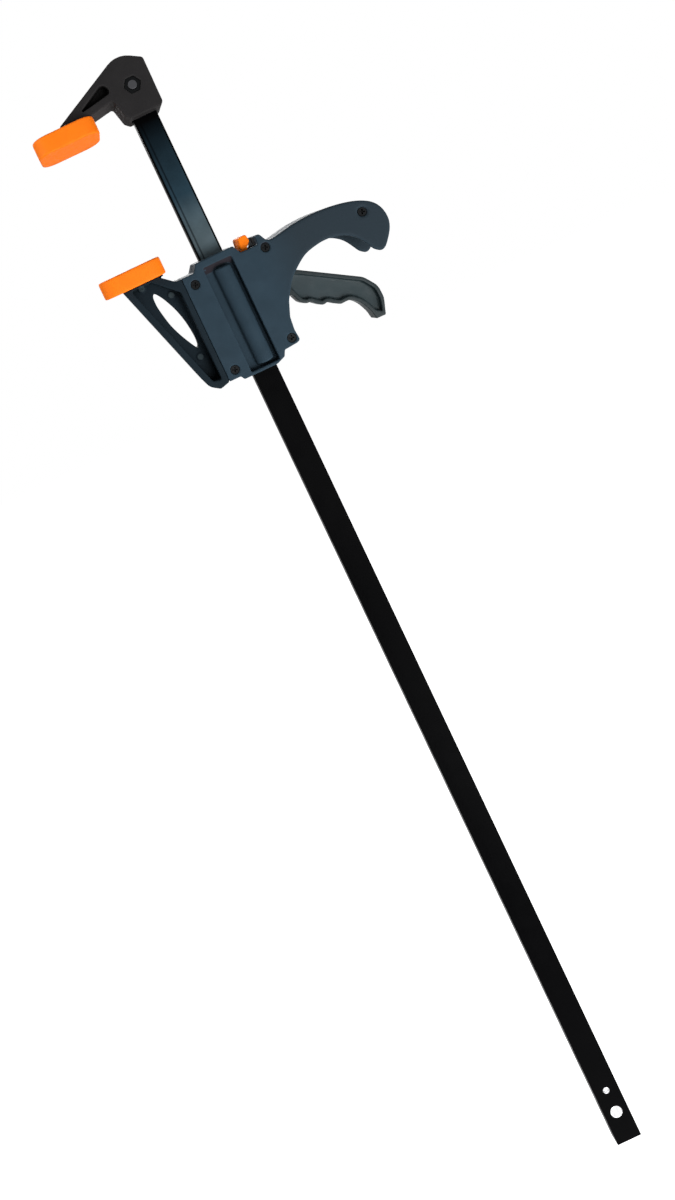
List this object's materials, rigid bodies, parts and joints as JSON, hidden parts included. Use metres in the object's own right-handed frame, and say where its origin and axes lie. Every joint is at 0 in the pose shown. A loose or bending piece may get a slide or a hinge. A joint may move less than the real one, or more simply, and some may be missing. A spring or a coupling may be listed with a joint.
{
  "type": "quick release bar clamp",
  "caption": "One-handed bar clamp: a fixed jaw on a long flat bar, and a head with a pistol grip, squeeze trigger and release button that slides along it.",
  "frame": {"origin": "centre of the fixed pad's clamping face, which is what the clamp hangs by when its fixed jaw is hooked over a rail", "axes": "+Z along the bar, away from the moving jaw; +X from the pads to the bar and on to the grip; Y across the clamp's thickness, with the screw heads on the -Y side"},
  "size_m": [0.1885, 0.038, 0.7904],
  "materials": {
    "black_bar": "gloss black oxide",
    "black_nylon": "matte moulded nylon",
    "grey_nylon": "matte moulded nylon",
    "trigger_nylon": "satin moulded nylon",
    "orange_rubber": "soft matte rubber",
    "orange_plastic": "satin plastic",
    "bright_steel": "zinc plated",
    "dark_steel": "black oxide",
    "spring_steel": "oiled spring wire"
  },
  "bodies": {
    "fixed_end": {"bar": "black_bar", "fixed_jaw": "black_nylon", "jaw_bolt": "dark_steel", "jaw_nut": "dark_steel", "fixed_pad": "orange_rubber"},
    "head": {"front_shell": "grey_nylon", "rear_shell": "grey_nylon", "shell_screws": "dark_steel", "moving_jaw": "grey_nylon", "moving_pad": "orange_rubber", "trigger_pin": "bright_steel", "brake_pin": "bright_steel", "drive_springs": "spring_steel", "brake_spring": "spring_steel"},
    "trigger": {"trigger": "trigger_nylon"},
    "drive": {"upper_drive_plate": "bright_steel", "lower_drive_plate": "bright_steel", "spring_plate": "bright_steel"},
    "brake": {"brake_plate": "bright_steel", "release_button": "orange_plastic"}
  },
  "joints": [
    {"name": "head_slide", "type": "slide", "parent": "fixed_end", "child": "head", "axis": [0, 0, 1], "range_m": [-0.5217, 0.0881]},
    {"name": "trigger_squeeze", "type": "hinge", "parent": "head", "child": "trigger", "pos_m": [0.0805, 0, -0.1389], "axis": [0, -1, 0], "range_deg": [0, 25], "stiffness_Nm_per_rad": 1.5, "springref_deg": -17.19},
    {"name": "drive_stroke", "type": "slide", "parent": "head", "child": "drive", "axis": [0, 0, -1], "range_m": [0, 0.0061], "deforming": ["drive_springs"]},
    {"name": "brake_release", "type": "hinge", "parent": "head", "child": "brake", "pos_m": [0.0416, 0, -0.1134], "axis": [0, 1, 0], "range_deg": [0, 4], "stiffness_Nm_per_rad": 1, "springref_deg": -8.59, "deforming": ["brake_spring"]}
  ],
  "couplings": [
    {"joint": "drive_stroke", "follows": "trigger_squeeze", "m_per_rad": 0.01389}
  ]
}
